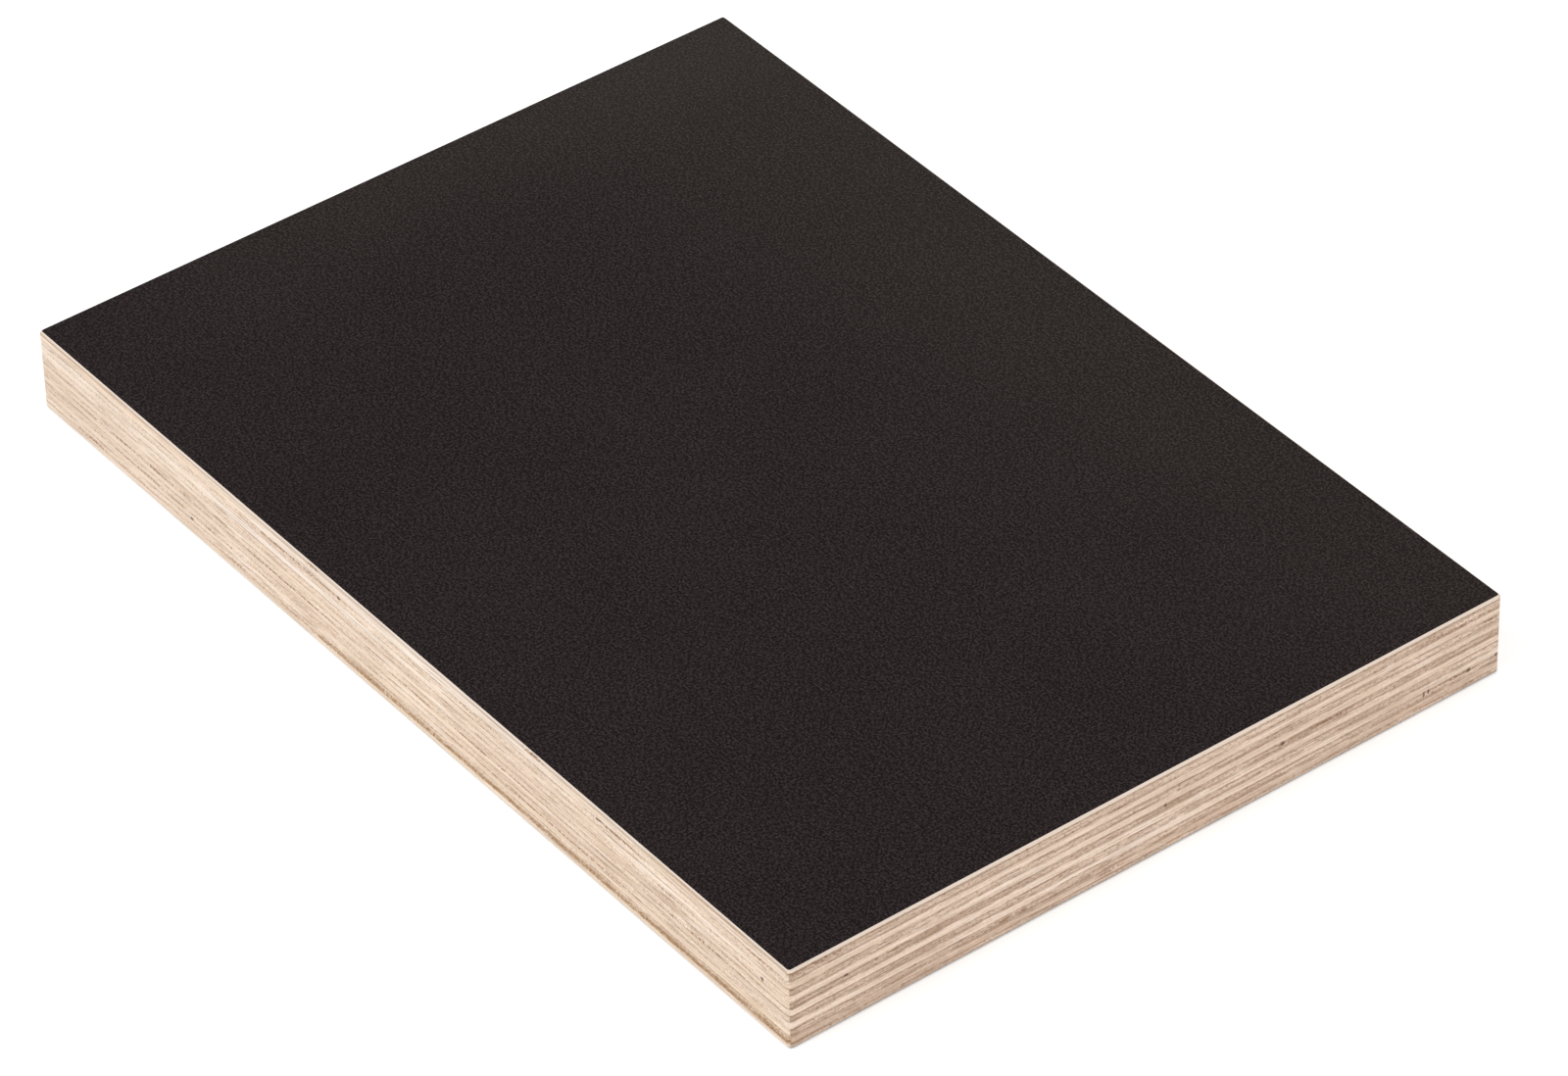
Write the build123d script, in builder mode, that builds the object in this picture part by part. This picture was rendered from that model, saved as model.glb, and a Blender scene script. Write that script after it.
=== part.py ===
"""Film-faced plywood board, cut to a small rectangle with eased edges.

The board is laid up from crosswise veneers between two resin films, pressed,
trimmed to its outline and eased along every edge. Each layer is one slice of
that trimmed board, from one glue line to the next.

Frame: origin at the centre of the underside, +X along the length, +Z up.
"""

from build123d import *
import os

os.makedirs("parts", exist_ok=True)

# Outline of the cut board, in millimetres
board_length = 200.0
board_width = 140.0

# Pressed thickness of each kind of sheet
film_thickness = 0.15
bottom_veneer_thickness = 1.40
inner_veneer_thickness = 1.33
top_veneer_thickness = 2.03
inner_veneer_count = 9

# Easing after trimming, each with a small radius left at the corners of the film
top_arris = 0.5
bottom_arris = 0.3
film_corner_radius = 0.3
board_corner_radius = film_corner_radius + max(top_arris, bottom_arris)


def layup():
    """List every layer from the underside up, as its name and thickness."""
    veneers = [bottom_veneer_thickness]
    veneers += [inner_veneer_thickness] * inner_veneer_count
    veneers += [top_veneer_thickness]
    layers = [("bottom_film", film_thickness)]
    layers += [(f"veneer_{number:02d}", thickness) for number, thickness in enumerate(veneers, 1)]
    layers += [("top_film", film_thickness)]
    return layers


board_thickness = sum(thickness for name, thickness in layup())

# Pressed board, trimmed to its outline, then eased above and below
with BuildPart() as board:
    with BuildSketch(Plane.XY):
        RectangleRounded(board_length, board_width, board_corner_radius)
    extrude(amount=board_thickness)
    chamfer(board.faces().sort_by(Axis.Z)[-1].edges(), length=top_arris)
    chamfer(board.faces().sort_by(Axis.Z)[0].edges(), length=bottom_arris)


def export_layer(name, lower_height, thickness):
    """Slice one layer out of the eased board, write it and give its volume."""
    with BuildPart() as layer:
        with BuildSketch(Plane.XY.offset(lower_height)):
            RectangleRounded(board_length, board_width, board_corner_radius)
        extrude(amount=thickness)
        add(board.part, mode=Mode.INTERSECT)
    layer.part.label = name
    export_step(layer.part, f"parts/{name}.step")
    return layer.part.volume


# Every layer, from the underside up
height = 0.0
layer_volume = 0.0
for layer_name, layer_thickness in layup():
    layer_volume += export_layer(layer_name, height, layer_thickness)
    height += layer_thickness

print(f"board {board_length} x {board_width} x {board_thickness:.2f} mm")
print(f"volume {board.part.volume:.1f} mm3, layers together {layer_volume:.1f} mm3")
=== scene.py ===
# %% [markdown]
# # A small sheet of film-faced plywood
#
# The real board is eleven birch veneers, glued so that the grain of each crosses the next,
# between two sheets of dark resin film. The CAD model already gives every layer its true
# shape, so nothing here moves or replaces a layer. This lesson gives them their finish.

# %% Load the layers
import math

import bpy
from mathutils import Matrix, Vector


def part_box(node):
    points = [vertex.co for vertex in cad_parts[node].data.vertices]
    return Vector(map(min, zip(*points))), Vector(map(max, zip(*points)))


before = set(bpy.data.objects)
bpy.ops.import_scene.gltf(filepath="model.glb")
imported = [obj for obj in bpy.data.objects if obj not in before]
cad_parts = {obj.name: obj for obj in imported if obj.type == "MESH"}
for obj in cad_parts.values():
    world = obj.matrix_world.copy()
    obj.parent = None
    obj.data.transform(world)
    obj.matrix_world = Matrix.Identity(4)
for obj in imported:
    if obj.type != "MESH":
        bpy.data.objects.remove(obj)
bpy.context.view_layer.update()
scene = bpy.context.scene

# Loading leaves the layers selected, and an operator acts on all that is selected
bpy.ops.object.select_all(action="DESELECT")

# %% [markdown]
# ## The camera
#
# A long lens from far off keeps the opposite edges of the board nearly parallel. The camera
# could be turned by three angles, but a place, a point to look at and a small roll about the
# line of sight say more plainly how it was held.

# %% Place the camera
MM = 0.001
camera_place = Vector((829.11, -611.18, 832.37)) * MM
camera_aim = Vector((11.13, -2.64, 7.85)) * MM
camera_roll = math.radians(-1.434)
lens_mm = 189.93
sensor_width_mm = 36.0

lens = bpy.data.cameras.new("camera")
lens.lens = lens_mm
lens.sensor_fit = "HORIZONTAL"
lens.sensor_width = sensor_width_mm
lens.clip_start = 0.05
lens.clip_end = 20.0
camera = bpy.data.objects.new("camera", lens)
scene.collection.objects.link(camera)
level = (camera_aim - camera_place).to_track_quat("-Z", "Y").to_matrix()
rolled = level @ Matrix.Rotation(camera_roll, 3, "Z")
camera.matrix_world = Matrix.Translation(camera_place) @ rolled.to_4x4()
scene.camera = camera
scene.view_settings.view_transform = "Standard"
print("camera is", round((camera_aim - camera_place).length, 3), "m from the board")

# %% [markdown]
# ## Writing a material as a sum
#
# A material is a tree of small nodes. Placed by hand it soon turns into a tangle, so this
# class wraps one output socket and lets Python's own signs add the Math nodes. A sum on
# numbers uses Math and a sum on places uses Vector Math. Colours go through Mix, because a
# Math node would turn them grey.

# %% The socket class
class Wire:
    """One output socket of a material, ready for sums."""

    def __init__(self, tree, socket=None):
        self.tree = tree
        self.socket = socket

    def make(self, kind, settings=None, sockets=None, out=0):
        """Add a node from its type, its settings and the values or links of its sockets."""
        node = self.tree.nodes.new(kind)
        for name, value in (settings or {}).items():
            setattr(node, name, value)
        for key, value in (sockets or {}).items():
            if isinstance(value, Wire):
                self.tree.links.new(value.socket, node.inputs[key])
            else:
                node.inputs[key].default_value = value
        return Wire(self.tree, node.outputs[out])

    def other_output(self, name):
        """Another output of the node that this wire comes from."""
        return Wire(self.tree, self.socket.node.outputs[name])

    def sum(self, operation, *sides):
        """Work out an operation on numbers, or on places where any side is a place."""
        places = any(isinstance(side, Wire) and side.socket.type == "VECTOR" for side in sides)
        if places:
            sides = [(side,) * 3 if isinstance(side, (int, float)) else side for side in sides]
        kind = "ShaderNodeVectorMath" if places else "ShaderNodeMath"
        return self.make(kind, {"operation": operation}, dict(enumerate(sides)))

    def __add__(self, other):
        return self.sum("ADD", self, other)

    def __radd__(self, other):
        return self.sum("ADD", other, self)

    def __sub__(self, other):
        return self.sum("SUBTRACT", self, other)

    def __rsub__(self, other):
        return self.sum("SUBTRACT", other, self)

    def __mul__(self, other):
        return self.sum("MULTIPLY", self, other)

    def __rmul__(self, other):
        return self.sum("MULTIPLY", other, self)

    def __truediv__(self, other):
        return self.sum("DIVIDE", self, other)

    def __mod__(self, other):
        return self.sum("FLOORED_MODULO", self, other)

    def __abs__(self):
        return self.sum("ABSOLUTE", self)

    def floor(self):
        return self.sum("FLOOR", self)

    def round(self):
        return self.sum("ROUND", self)

    def between(self, low, high):
        """Keep a number between two limits."""
        return self.sum("MINIMUM", self.sum("MAXIMUM", self, low), high)

    def rise(self, low, high):
        """Go smoothly from 0 at low to 1 at high."""
        # The sockets are the value, the range that it comes from and the one that it goes to
        return self.make("ShaderNodeMapRange", {"interpolation_type": "SMOOTHSTEP"},
                         {0: self, 1: low, 2: high, 3: 0.0, 4: 1.0})

    def fall(self, low, high):
        """Go smoothly from 1 at low to 0 at high."""
        return 1.0 - self.rise(low, high)

    def axes(self):
        """Split a place or direction into its three numbers."""
        parts = self.make("ShaderNodeSeparateXYZ", None, {0: self})
        return [parts.other_output(axis) for axis in "XYZ"]

    def length(self):
        """How long a place or direction is."""
        return self.make("ShaderNodeVectorMath", {"operation": "LENGTH"}, {0: self},
                         out="Value")

    def place(self, x, y, z):
        """Join three numbers into a place."""
        return self.make("ShaderNodeCombineXYZ", None, {0: x, 1: y, 2: z})

    def mottle(self, size, detail, seed):
        """Cloudy noise about 0, whose patches are about size across, in millimetres."""
        # The seed moves the noise by another step along each axis
        spot = self / size + (seed, seed * 0.7, seed * 1.3)
        noise = self.make("ShaderNodeTexNoise", {"noise_dimensions": "3D"},
                          {"Vector": spot, "Scale": 1.0, "Detail": detail, "Roughness": 0.55})
        return noise * 2.0 - 1.0

    def paint(self, colour):
        """Start from one plain colour."""
        wire = self.make("ShaderNodeRGB")
        wire.socket.default_value = colour
        return wire

    def blend(self, factor, other):
        """Mix this colour with another, by a factor from 0 to 1."""
        # Mix has sockets for each kind of value: the colours are 6 and 7, and 2 comes out
        return self.make("ShaderNodeMix", {"data_type": "RGBA", "clamp_factor": True},
                         {0: factor, 6: self, 7: other}, out=2)


print("signs that add a node: + - * / % and abs")

# %% [markdown]
# ## Colours, and the start of a material
#
# A colour is easiest to choose as it looks on a screen, from 0 to 255. A shader works with
# amounts of light, so each colour is turned into light by the rule that screens use.

# %% Helpers for colours and finishes
white_light = (1.0, 1.0, 1.0, 1.0)
no_light = (0.0, 0.0, 0.0, 1.0)


def light_of(level):
    """The light that one screen level from 0 to 255 stands for."""
    part = level / 255.0
    return part / 12.92 if part <= 0.04045 else ((part + 0.055) / 1.055) ** 2.4


def seen(red, green, blue):
    """A colour as read off a screen, turned into the light it stands for."""
    return (light_of(red), light_of(green), light_of(blue), 1.0)


def new_finish(name, roughness, specular):
    """Start a material. Gives it, its shader and a wire to build from."""
    material = bpy.data.materials.new(name)
    material.use_nodes = True
    tree = material.node_tree
    shader = tree.nodes["Principled BSDF"]
    shader.inputs["Roughness"].default_value = roughness
    shader.inputs["Specular IOR Level"].default_value = specular
    return material, shader, Wire(tree)


def connect(wire, shader, socket):
    """Feed a wire to one of the shader's sockets."""
    wire.tree.links.new(wire.socket, shader.inputs[socket])


print("paper white in light:", [round(part, 3) for part in seen(250, 250, 250)[:3]])

# %% [markdown]
# ## The floor
#
# The board lies on white paper in soft light. Stronger lamps would turn the paper white, but
# they would bleach the birch too. So the paper glows a little instead, and only for rays that
# come straight from the camera or by way of a mirror or glass. It still takes the board's
# soft shadow.

# %% Make the floor
floor_half = 3.0
floor_colour = seen(244, 244, 244)
floor_glow = 0.30

bpy.ops.mesh.primitive_plane_add(size=2 * floor_half, location=(0, 0, 0))
floor = bpy.context.object
floor.name = "floor"
paper, paper_shader, start = new_finish("paper", 0.9, 0.0)
paper_shader.inputs["Base Color"].default_value = floor_colour
ray = start.make("ShaderNodeLightPath")
camera_ray = ray.other_output("Is Camera Ray")
mirror_ray = ray.other_output("Is Glossy Ray")
glass_ray = ray.other_output("Is Transmission Ray")
looked_at = (camera_ray + mirror_ray + glass_ray).between(0.0, 1.0)
glow = start.make("ShaderNodeEmission", None, {"Color": white_light, "Strength": floor_glow})
nothing = start.make("ShaderNodeEmission", None, {"Color": no_light, "Strength": 0.0})
lift = start.make("ShaderNodeMixShader", None, {0: looked_at, 1: nothing, 2: glow})
plain_paper = Wire(start.tree, paper_shader.outputs[0])
both = start.make("ShaderNodeAddShader", None, {0: plain_paper, 1: lift})
start.tree.links.new(both.socket, start.tree.nodes["Material Output"].inputs["Surface"])
floor.data.materials.append(paper)
print("floor:", 2 * floor_half, "m across, glow", floor_glow)

# %% [markdown]
# ## The light
#
# Even light from all round shows the finish plainly, and two broad lamps keep the two edges
# apart. The left lamp is the stronger one, because the long edge is the brighter of the two
# that show.

# %% Make the lamps
world_strength = 0.68
lamp_size = 1.4

world = bpy.data.worlds.new("studio")
world.use_nodes = True
background = world.node_tree.nodes["Background"]
background.inputs["Color"].default_value = white_light
background.inputs["Strength"].default_value = world_strength
scene.world = world


def softbox(name, place, watts):
    """A square lamp that faces the board."""
    light = bpy.data.lights.new(name, "AREA")
    light.energy = watts
    light.size = lamp_size
    lamp = bpy.data.objects.new(name, light)
    lamp.location = place
    lamp.rotation_euler = (-Vector(place)).to_track_quat("-Z", "Y").to_euler()
    scene.collection.objects.link(lamp)


softbox("left_lamp", (-0.35, -1.5, 1.5), 19.0)
softbox("right_lamp", (1.6, 0.3, 1.3), 10.0)

# %% [markdown]
# ## Where each veneer begins
#
# The glue lines are read from the layers themselves. Real veneers are never quite even, so
# the height is nudged by slow noise before the ply is looked up, and the lines then wander by
# a tenth of a millimetre or two, as a pressed board's do. One material does for all of the
# veneers, because it finds out from the height which one it is on.

# %% Find the ply at any height
first_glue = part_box("veneer_02")[0].z / MM
last_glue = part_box("veneer_11")[0].z / MM
board_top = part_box("top_film")[1].z / MM
half_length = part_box("veneer_06")[1].x / MM
half_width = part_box("veneer_06")[1].y / MM
inner_plies = 9
ply_height = (last_glue - first_glue) / inner_plies

# How far the glue lines wander in mm, and the size, detail and seed of the noise that does it
glue_wander = 0.16
wander_noise = ((26.0, 26.0, 2.4), 2.0, 3.1)

# One veneer is swollen: x, y and z of the middle, half its reach each way, and how far, in mm
swell_place = (half_length, -14.5, 4.1)
swell_reach = (8.0, 7.5, 1.5)
swell_height = 0.75

# The glue lines dip a little toward the short edge that shows
dip_length = 30.0
dip_depth = 0.17

# Just under one ply below the first glue line and above the last, for the two face veneers
face_ply = 0.99


def find_ply(place):
    """Give a place's veneer, whether that lies lengthwise, and the mm above a glue line."""
    height = place.axes()[2] + place.mottle(*wander_noise) * glue_wander
    swell = ((place - swell_place) / swell_reach).length().fall(0.1, 1.0)
    dip = place.axes()[0].rise(half_length - dip_length, half_length)
    height = height - swell * swell_height + dip * dip_depth
    step = (height - first_glue) / ply_height

    # The first glue line is the foot of veneer 2
    number = step.between(-face_ply, inner_plies + face_ply).floor() + 2.0
    nearest = step.between(0.0, float(inner_plies)).round()
    return number, number % 2.0, (step - nearest) * ply_height


print("glue lines from", round(first_glue, 2), "to", round(last_glue, 2),
      "mm, every", round(ply_height, 3), "mm")

# %% [markdown]
# ## Bare birch
#
# On an edge, every other veneer is cut across its fibres and shows end grain. The rest are
# cut along their fibres. A material could be made for each kind, but where one veneer turns
# the corner it changes from one to the other, so one material does both. For that, a few
# wires say where each point lies: how far along the board, on which edge, and in which ply.

# %% Read where a point of the birch lies
to_mm = 1000.0
turn_of_corner = (0.68, 0.80)


class Spot:
    """Where a point of the birch lies, as wires to build masks from."""

    def __init__(self, start):
        coordinates = start.make("ShaderNodeTexCoord", out="Object")
        facing = coordinates.other_output("Normal").axes()
        self.place = coordinates * to_mm
        self.x, self.y, self.z = self.place.axes()
        self.facing_x = abs(facing[0])
        self.facing_z = abs(facing[2])
        self.number, self.lengthwise, self.above_glue = find_ply(self.place)
        self.crosswise = 1.0 - self.lengthwise
        self.on_short_edge = self.facing_x.rise(*turn_of_corner)
        self.on_long_edge = 1.0 - self.on_short_edge
        self.dark_ply = self.lengthwise * self.on_short_edge


print("the short edge begins where the surface faces along x by", turn_of_corner)

# %% [markdown]
# The veneer was peeled from a turning log, so its growth rings lie flat in the sheet and come
# out on every edge as fine lines along it. One stretched noise makes those lines. Another is
# stretched along each veneer's own grain, so it shows as streaks one way and as dots the
# other. A fine speckle lies over all of it. Each veneer reads its own part of the streaks, so
# no two are alike.

# %% Make the grain
# Each noise is the size of its patches in mm, its finer detail and its seed
ring_noise = ((22.0, 12.0, 0.28), 2.0, 4.4)
fibre_noise = ((7.0, 0.50, 0.28), 2.0, 1.7)
speckle_noise = ((0.48, 0.48, 0.40), 1.0, 17.0)
dash_noise = ((5.0, 0.80, 0.20), 1.0, 9.2)
hair_noise = ((17.0, 8.0, 0.24), 1.0, 21.0)
tint_noise = ((18.0, 3.0, 0.60), 1.0, 31.0)
drift_noise = ((34.0, 34.0, 3.0), 1.0, 5.5)
patch_noise = ((3.2, 3.2, 0.9), 2.0, 12.0)
ply_shift = 7.3


class Grain:
    """The noises of one birch material, most of them read along each ply's own fibres."""

    def __init__(self, start, spot):
        along = spot.x * spot.lengthwise + spot.y * spot.crosswise
        across = spot.y * spot.lengthwise + spot.x * spot.crosswise
        fibre_place = start.place(along, across, spot.z + spot.number * ply_shift)
        self.rings = fibre_place.mottle(*ring_noise)
        self.fibres = fibre_place.mottle(*fibre_noise)
        self.speckle = spot.place.mottle(*speckle_noise)
        self.dashes = fibre_place.mottle(*dash_noise).rise(0.12, 0.40)
        self.hairs = fibre_place.mottle(*hair_noise).rise(0.14, 0.36)
        self.tint = fibre_place.mottle(*tint_noise)
        self.drift = spot.place.mottle(*drift_noise)
        self.patches = spot.place.mottle(*patch_noise)
        self.tone = self.rings * 0.72 + self.fibres * 0.45 + self.speckle * 0.36


print("growth ring lines:", ring_noise[0][2], "mm, speckle:", speckle_noise[0][0], "mm")

# %% [markdown]
# ### Which way each ply is cut
#
# On the short edge the lengthwise plies are cut across and look clearly darker. On the long
# edge it is the crosswise ones, and they hardly differ. Veneers come from different logs, so
# some are darker than the rest: a darker one simply takes more of the end grain's colour.

# %% Say how far a point looks like end grain
end_grain_on_long_edge = 0.20

# How much darker some veneers are than the rest on the short edge, by their number
darker_veneers = {1: 0.20, 2: 0.48, 3: 0.12, 4: 0.10, 5: 0.05, 7: 0.30}


def only_veneer(spot, veneer):
    """1 on one veneer and 0 on all others."""
    return abs(spot.number - veneer).fall(0.1, 0.6)


def by_veneer(spot, amounts, where):
    """Give each listed veneer its own amount, in the places that a mask allows."""
    total = 0.0
    for veneer, amount in amounts.items():
        total = only_veneer(spot, veneer) * where * amount + total
    return total


def end_grain_share(spot, darker):
    """How far a point looks like end grain, from 0 to 1."""
    cut_across = spot.dark_ply + spot.crosswise * spot.on_long_edge * end_grain_on_long_edge
    return (cut_across + darker).between(0.0, 1.0)


print("darker veneers:", sorted(darker_veneers))

# %% [markdown]
# ### The wood's own colours
#
# Wood cut along its fibres is pale, and shaded by its rings. Slow noise adds patches that are
# pinker, whiter or more golden, because one even cream would look like plastic.

# %% Colour wood cut along its fibres
long_grain = seen(248, 229, 211)
long_grain_on_short_edge = seen(250, 226, 208)
long_grain_shade = seen(203, 177, 151)
long_grain_pink = seen(236, 211, 193)
long_grain_white = seen(250, 240, 230)
long_grain_gold = seen(238, 214, 183)

# The most of each tint that shows
shade_most = 0.90
pink_most = 0.3
white_most = 0.35
gold_most = 0.60
gold_lost_on_short_edge = 0.4


def long_grain_colour(start, spot, grain):
    """Pale wood with shaded rings and pinker, whiter and more golden patches."""
    shade = (grain.tone + grain.drift * 0.25).rise(-0.38, 0.49) * shade_most
    pink = grain.drift.rise(-0.2, 0.4) * pink_most
    white = (grain.fibres + grain.drift * 0.4).fall(-0.40, 0.0) * white_most
    gold_here = gold_most - spot.on_short_edge * gold_lost_on_short_edge
    gold = grain.tint.rise(-0.05, 0.40) * gold_here
    colour = start.paint(long_grain).blend(spot.on_short_edge, long_grain_on_short_edge)
    colour = colour.blend(shade, long_grain_shade)
    colour = colour.blend(pink, long_grain_pink)
    colour = colour.blend(white, long_grain_white)
    return colour.blend(gold, long_grain_gold)


print("tints at their most:", shade_most, pink_most, white_most, gold_most)

# %% [markdown]
# In end grain the light sinks in between the fibres, so it is darker, and its rings stand out
# more. It needs no tints, only a light and a dark colour blended along the rings.

# %% Colour wood cut across its fibres
end_grain = seen(241, 217, 197)
end_grain_shade = seen(178, 149, 126)


def end_grain_colour(start, grain, darker):
    """Darker wood with stronger rings, and darker again on the veneers that are."""
    lines = grain.rings * 0.88 + grain.fibres * 0.35 + grain.speckle * 0.30
    lines = lines + grain.drift * 0.3 + darker * 0.5
    return start.paint(end_grain).blend(lines.rise(-0.56, 0.68), end_grain_shade)


print("end grain in light:", [round(part, 2) for part in end_grain[:3]])

# %% [markdown]
# ### Veneers that differ
#
# On this board some veneers are browner toward the near corner and some stretches of the long
# edge are paler or more shaded. The foot of the short edge has peach patches. Each of these
# is a mask with soft ends, because noise alone would put them anywhere.

# %% Tint single veneers and stretches
pore_brown = seen(126, 94, 64)
peach = seen(238, 196, 165)

# How much browner some veneers are on both edges toward the near corner
browner_veneers = {1: 0.06, 2: 0.12, 5: 0.18, 7: 0.11, 11: 0.14}
near_corner_y = (-45.0, -5.0)
near_corner_x = (25.0, 75.0)

# Stretches of the long edge that are paler: veneer number, middle, half the length, how much
paler_stretches = [(9, -28.0, 30.0, 0.45), (11, 0.0, 55.0, 0.35)]

# All plies but the top one are a little paler toward the far end of the long edge
paler_end = (-85.0, -10.0)
below_top_ply = (13.0, 14.5)
paler_end_amount = 0.16

# The middle plies are more shaded over the last stretch there
shaded_end = (-62.0, -38.0)
shaded_height = 6.2
shaded_amount = 0.32


def tint_veneers(colour, spot, grain):
    """Make the veneers browner, paler, more shaded or more peach where the real ones are."""
    near_corner = spot.y.fall(*near_corner_y) * spot.on_short_edge
    near_corner = near_corner + spot.x.rise(*near_corner_x) * spot.on_long_edge
    browner = by_veneer(spot, browner_veneers, near_corner)
    colour = colour.blend(browner * (grain.tone + 1.0).between(0.0, 2.0), pore_brown)

    paler = spot.x.fall(*paler_end) * spot.z.fall(*below_top_ply) * paler_end_amount
    for veneer, middle, half, amount in paler_stretches:
        stretch = abs(spot.x - middle).fall(half * 0.6, half * 1.1)
        paler = only_veneer(spot, veneer) * stretch * amount + paler
    colour = colour.blend(paler * spot.on_long_edge, long_grain_white)

    shaded_plies = abs(spot.z - shaded_height).fall(1.8, 4.2)
    shaded = spot.x.fall(*shaded_end) * shaded_plies * shaded_amount
    colour = colour.blend(shaded * spot.on_long_edge, long_grain_shade)

    low = spot.z.fall(2.2, 3.2) * spot.on_short_edge
    return colour.blend(low * grain.patches.rise(0.0, 0.35) * 0.3, peach)


print("browner veneers:", sorted(browner_veneers), "paler stretches:", len(paler_stretches))

# %% [markdown]
# ### Pores
#
# Birch is full of fine tubes. They show as dark dashes, short where the grain is cut across
# and longer where it is cut along, with long thin hairs between them. Both come from noise of
# which only the highest part is kept.

# %% Draw the pores
dash_least = 0.17
dash_more_on_end_grain = 0.48
hair_most = 0.45
hair_lost_on_short_edge = 0.20


def add_pores(colour, spot, grain, cut_across):
    """Dark dashes, stronger on end grain, and thin hairs, weaker on the short edge."""
    dashes = grain.dashes * (cut_across * dash_more_on_end_grain + dash_least)
    hairs = grain.hairs * (hair_most - spot.on_short_edge * hair_lost_on_short_edge)
    return colour.blend(dashes, pore_brown).blend(hairs, pore_brown)


print("along the grain, dashes:", dash_noise[0][0], "mm, hairs:", hair_noise[0][0], "mm")

# %% [markdown]
# ### Glue lines
#
# The glue is a dark brown resin, pressed to almost nothing, and what shows is the wood
# that it has soaked into. The distance to the nearest glue line has a sign, because in the
# lower plies of the short edge the stain lies just below its line. Slow noise breaks each
# line up, as it is on a sawn edge.

# %% Draw the glue lines
glue_brown = seen(122, 90, 66)
soak = 0.12
stain_drop = 0.15
stain_drop_heights = (8.5, 10.0)


def glue_mask(spot, grain):
    """Where the glue has stained dark plies, light plies and the long edge."""
    gap = abs(spot.above_glue)
    light_ply = spot.on_short_edge - spot.dark_ply
    drop = spot.z.fall(*stain_drop_heights) * stain_drop
    in_dark_ply = abs(gap - soak).fall(0.05, 0.34) * spot.dark_ply * 0.42
    in_light_ply = abs(spot.above_glue + drop).fall(0.03, 0.28) * light_ply * 0.46
    on_long_edge = gap.fall(0.02, 0.28) * spot.on_long_edge * (0.38 + grain.speckle * 0.6)
    return (in_dark_ply + in_light_ply + on_long_edge) * grain.patches.rise(-0.40, 0.15)


print("the stain lies", stain_drop, "mm low in the lower plies of the short edge")

# %% [markdown]
# ### Arris and foot
#
# The edges are eased. The easing has left the wood pale under the film. Just below that, a
# brown line is painted shade, where the eased arris meets the edge. The foot is a little
# greyer, and darker on the short edge. The dark plies are also scorched where the short edge
# meets the near corner. All of these follow the height or the end of the edge, so masks of
# height and facing do for them.

# %% Colour the arris and the foot
arris_long_edge = seen(228, 215, 202)
arris_short_edge = seen(226, 210, 196)
foot_long_edge = seen(226, 212, 196)
foot_short_edge = seen(175, 168, 160)
scorched_end = (-half_width + 0.8, -half_width + 3.5)
arris_shade_line_depth = 0.46
arris_shade_line_deeper_on_short_edge = 0.34
arris_deeper_on_short_edge = 0.3
foot_height = (0.45, 1.00)


def wear_and_shade_edges(colour, start, spot):
    """Scorch the near corner, then paint the shade line under the arris, the pale arris and
    the foot.
    """
    scorched = spot.y.fall(*scorched_end) * spot.dark_ply
    colour = colour.blend(scorched * 0.30, pore_brown)

    which_edge = spot.facing_x.rise(0.30, 0.45)
    below_top = board_top - spot.z
    # Painted shade: a brown line where the eased arris meets the edge
    below_shade_line = below_top - arris_shade_line_depth - which_edge * arris_shade_line_deeper_on_short_edge
    colour = colour.blend(abs(below_shade_line).fall(0.05, 0.36) * 0.42, pore_brown)

    arris = start.paint(arris_long_edge).blend(which_edge, arris_short_edge)
    near_top = (below_top - which_edge * arris_deeper_on_short_edge).fall(0.26, 0.42)
    colour = colour.blend(spot.facing_z.rise(0.3, 0.6) * near_top * 0.85, arris)

    foot = start.paint(foot_long_edge).blend(which_edge, foot_short_edge)
    return colour.blend(spot.z.fall(*foot_height) * 0.60, foot)


print("brown line under the arris:", arris_shade_line_depth, "mm below the top")

# %% [markdown]
# ### The brown stain
#
# From about the middle of the long edge to the near corner a brown stain runs low down, with
# a darker core. It is made of two bands of height, frayed by the finer noises.

# %% Draw the stain
stain_brown = seen(154, 117, 76)
stain_height = 1.60
stain_start = (-44.0, -6.0)
stain_start_fray = 9.0


def stain_mask(spot, grain):
    """A dark core and a fainter wing, low along the near part of the long edge."""
    core = abs(spot.z - stain_height + grain.drift * 0.3).fall(0.10, 0.78)
    wing = spot.z.rise(0.95, 1.35) * spot.z.fall(2.05, 2.95)
    ragged = (0.72 + grain.speckle * 1.1 + grain.patches * 0.5).between(0.0, 1.3)
    run = (spot.x + grain.patches * stain_start_fray).rise(*stain_start)
    run = run * spot.y.fall(-half_width + 0.15, -half_width + 0.5)
    return (core * 0.56 + wing * 0.46) * ragged * run


print("stain:", stain_height, "mm up, from x =", stain_start[1], "mm")

# %% [markdown]
# ### Pits and scorched streaks
#
# Pits and the streaks that a blunt saw scorches are few, so each is put where the real board
# has it. Each row says, in millimetres, how far along its edge the mark lies, how high, how
# long it is and how tall.

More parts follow.
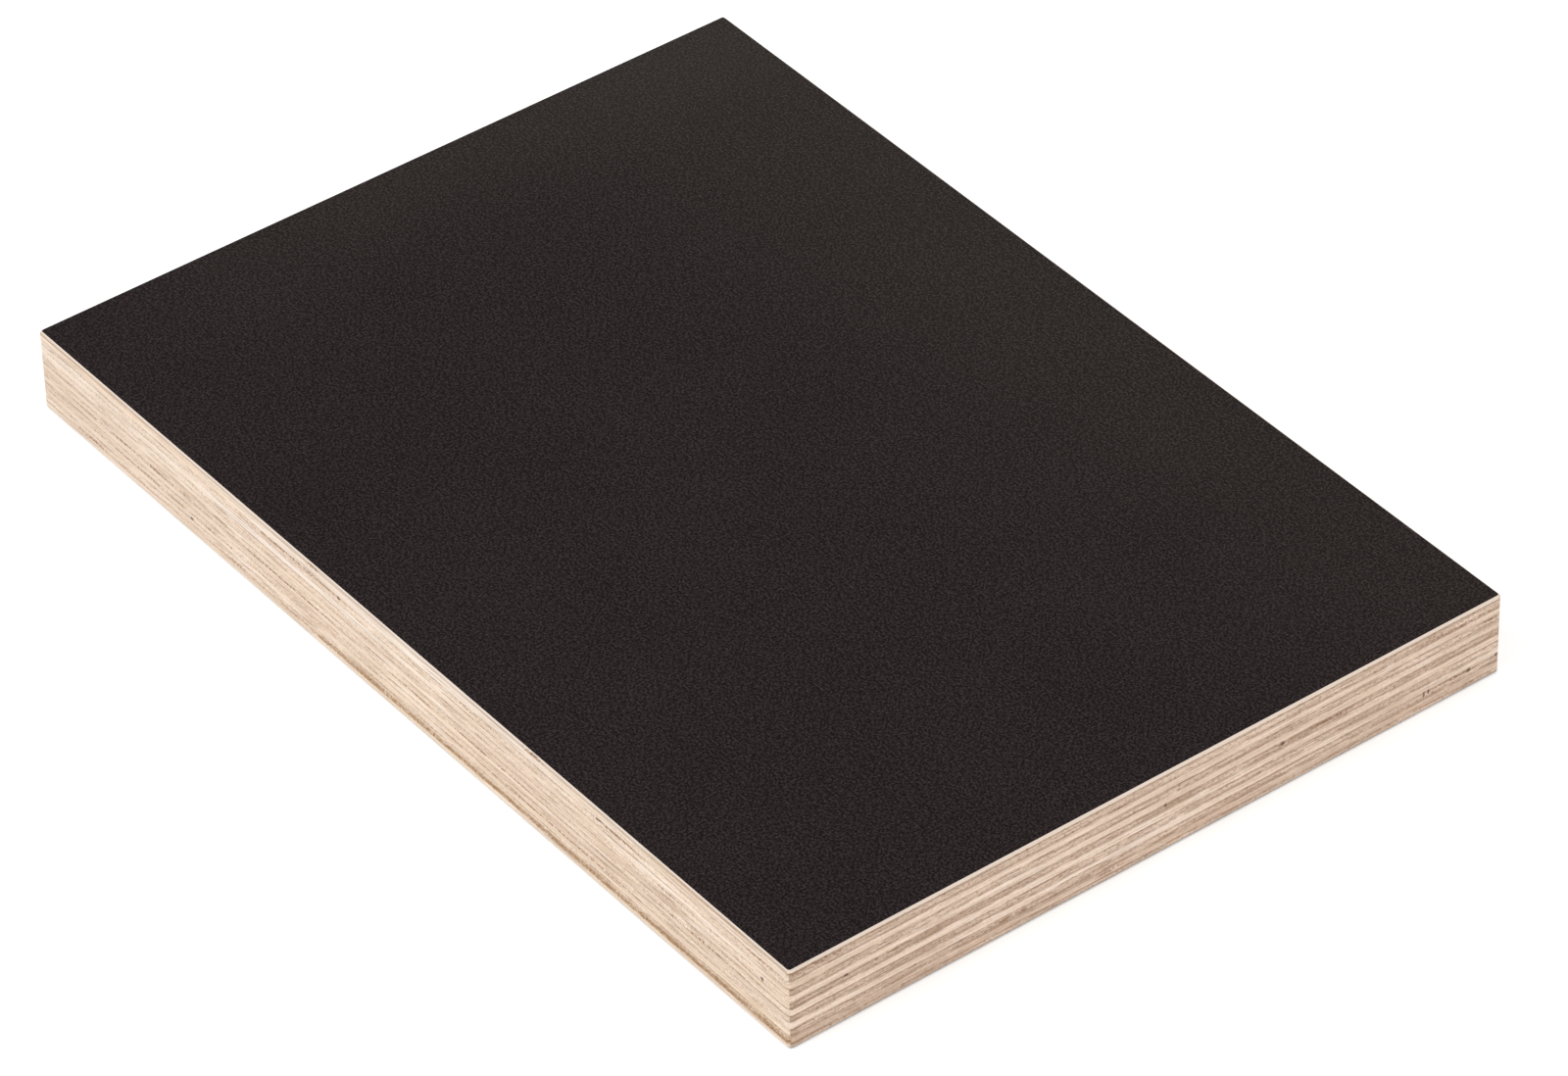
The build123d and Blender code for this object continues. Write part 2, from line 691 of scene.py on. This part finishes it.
# %% Place the pits and the scorched streaks
short_edge_pits = [
    (-59.3, 9.1, 0.9, 0.5),
    (2.2, 9.1, 0.5, 0.6),
    (25.5, 9.0, 0.9, 0.8),
    (54.3, 3.5, 0.4, 1.0),
    (55.2, 3.7, 0.4, 0.9),
    (63.5, 3.7, 0.9, 0.7),
    (69.2, 3.9, 0.7, 0.6),
]
long_edge_pits = [
    (-57.0, 3.2, 0.9, 0.5),
    (-15.3, 13.3, 0.8, 0.6),
    (53.0, 13.6, 1.6, 0.4),
    (93.5, 9.8, 0.8, 0.7),
]
short_edge_streaks = [
    (-64.0, 14.6, 11.0, 0.6),
    (-50.0, 9.2, 5.0, 0.6),
    (-28.0, 3.3, 8.0, 0.6),
    (-8.5, 1.9, 5.0, 0.6),
    (-6.5, 13.5, 3.0, 0.4),
    (36.0, 8.9, 9.0, 0.6),
    (60.0, 3.7, 10.0, 0.5),
    (62.0, 13.7, 13.0, 0.5),
    (68.0, 11.8, 4.0, 0.5),
]
long_edge_streaks = [
    (-86.0, 1.8, 8.0, 0.7),
    (-72.0, 6.9, 34.0, 0.6),
    (-44.0, 1.8, 8.0, 0.7),
    (-27.0, 13.3, 24.0, 0.6),
    (-22.5, 15.1, 4.0, 0.5),
    (-30.0, 6.9, 24.0, 0.5),
    (18.0, 6.9, 40.0, 0.4),
    (40.0, 4.2, 50.0, 0.4),
    (-60.0, 4.2, 50.0, 0.4),
    (20.5, 13.3, 10.0, 0.5),
    (36.0, 15.2, 5.5, 0.5),
    (57.0, 13.5, 11.0, 0.7),
    (70.0, 10.7, 6.0, 0.5),
    (78.0, 6.9, 22.0, 0.5),
    (94.0, 13.3, 9.0, 0.6),
]
print("pits:", len(short_edge_pits + long_edge_pits),
      "streaks:", len(short_edge_streaks + long_edge_streaks))

# %% [markdown]
# A mark is an oval mask round its middle. It reaches only about a millimetre into the board,
# so it stays on its own edge unless it lies at a corner.

# %% Turn the lists into masks
pit_brown_and_shade = seen(92, 66, 50)
streak_brown = seen(138, 98, 70)
mark_depth = 1.0
pit_softness = 0.3
streak_softness = 0.45


def marks(place, short_edge, long_edge, soft):
    """A mask of the listed marks, which fades over the soft part of each one's reach."""
    ovals = [((half_length, y, z), (mark_depth, long / 2, tall / 2))
             for y, z, long, tall in short_edge]
    ovals += [((x, -half_width, z), (long / 2, mark_depth, tall / 2))
              for x, z, long, tall in long_edge]
    mask = None
    for middle, reach in ovals:
        oval = ((place - middle) / reach).length().fall(1.0 - soft, 1.0 + soft)
        mask = oval if mask is None else mask.sum("MAXIMUM", mask, oval)
    return mask


print("marks reach about", mark_depth, "mm into the board")

# %% [markdown]
# ### The birch put together
#
# The wood and its tints come first, then the pores, the glue and the eased arris, and last
# what lies over them all: the stain, the streaks and the pits. The grain, glue and pits also
# make a shallow bump, so that they catch the light as well.

# %% Make the birch
birch_roughness = 0.72
birch_specular = 0.22
relief_depth = 0.06 * MM


def birch_finish(name):
    """Bare birch edges for every veneer."""
    material, shader, start = new_finish(name, birch_roughness, birch_specular)
    spot = Spot(start)
    grain = Grain(start, spot)
    darker = by_veneer(spot, darker_veneers, spot.on_short_edge)
    cut_across = end_grain_share(spot, darker)

    pale = long_grain_colour(start, spot, grain)
    colour = pale.blend(cut_across, end_grain_colour(start, grain, darker))
    colour = tint_veneers(colour, spot, grain)
    colour = add_pores(colour, spot, grain, cut_across)
    glue = glue_mask(spot, grain)
    colour = colour.blend(glue, glue_brown)
    colour = wear_and_shade_edges(colour, start, spot)
    colour = colour.blend(stain_mask(spot, grain), stain_brown)

    streaked = marks(spot.place, short_edge_streaks, long_edge_streaks, streak_softness)
    streaked = streaked * (grain.speckle * 2.0 + grain.patches * 0.8 + 0.34).between(0.0, 0.8)
    colour = colour.blend(streaked, streak_brown)
    pitted = marks(spot.place, short_edge_pits, long_edge_pits, pit_softness)
    # The pits' colour is partly their own brown and partly painted shade inside the hollows
    colour = colour.blend(pitted * 0.8, pit_brown_and_shade)
    connect(colour, shader, "Base Color")

    relief = grain.tone * 0.6 - grain.dashes * 0.5 - glue * 0.8 - pitted * 3.0
    bump = start.make("ShaderNodeBump", None,
                      {"Strength": 0.6, "Distance": relief_depth, "Height": relief})
    connect(bump, shader, "Normal")
    return material


birch = birch_finish("bare_birch")
print("birch nodes:", len(birch.node_tree.nodes))

# %% [markdown]
# ## Resin film
#
# The film is resin-soaked paper, cured hard under a hot press: nearly black, a little warm,
# with a fine grain. The grain is made twice from one noise, as a faint change of colour and
# as a shallow bump that breaks up the sheen. Toward the far long side and along the far short
# one the film is painted lighter and a little olive: a painted sheen, in place of the light it
# reflects there. A sheen laid over the finished colour would flatten the grain, so the dark
# and the light of the grain each have a colour of their own for it.

# %% Make the film
film_roughness = 0.5
film_specular = 0.1
film_relief_depth = 0.03 * MM
film_dark = seen(8, 0, 0)
film_light = seen(59, 48, 48)
painted_sheen_dark = seen(32, 28, 22)
painted_sheen_light = seen(66, 58, 55)
film_noise = ((0.40, 0.40, 0.40), 2.0, 2.2)
cloud_noise = ((30.0, 30.0, 30.0), 2.0, 6.6)

# Where the painted sheen lies in mm, and how much of it there is
far_long_side = (0.0, 80.0)
far_short_side = (-half_length, 32.0 - half_length)
far_side_painted_sheen = 0.72
far_end_painted_sheen = 0.50


def film_finish(name):
    """Dark resin film for both faces."""
    material, shader, start = new_finish(name, film_roughness, film_specular)
    place = start.make("ShaderNodeTexCoord", out="Object") * to_mm
    grain = place.mottle(*film_noise)
    cloud = place.mottle(*cloud_noise)
    x, y = place.axes()[:2]
    far_side = y.rise(*far_long_side) * (x.fall(-110.0, 110.0) * 0.6 + 0.4)
    far_end = x.fall(*far_short_side) * y.rise(-75.0, 0.0)
    # Painted sheen: the film is painted lighter toward the far sides, in place of reflected
    # light
    painted_sheen = far_side * far_side_painted_sheen + far_end * far_end_painted_sheen
    light = start.paint(film_light).blend(painted_sheen, painted_sheen_light)
    dark = start.paint(film_dark).blend(painted_sheen, painted_sheen_dark)
    colour = dark.blend((grain + cloud * 0.05).rise(-0.27, 0.53), light)
    connect(colour, shader, "Base Color")
    bump = start.make("ShaderNodeBump", None,
                      {"Strength": 0.5, "Distance": film_relief_depth, "Height": grain})
    connect(bump, shader, "Normal")
    return material


film = film_finish("resin_film")
print("film nodes:", len(film.node_tree.nodes))

# %% [markdown]
# ## Dress the layers
#
# Each layer keeps its own mesh and only its material changes.

# %% Give every layer its finish
for layer_name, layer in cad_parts.items():
    finish = film if layer_name.endswith("film") else birch
    layer.data.materials.clear()
    layer.data.materials.append(finish)
print("dressed:", sorted(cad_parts))
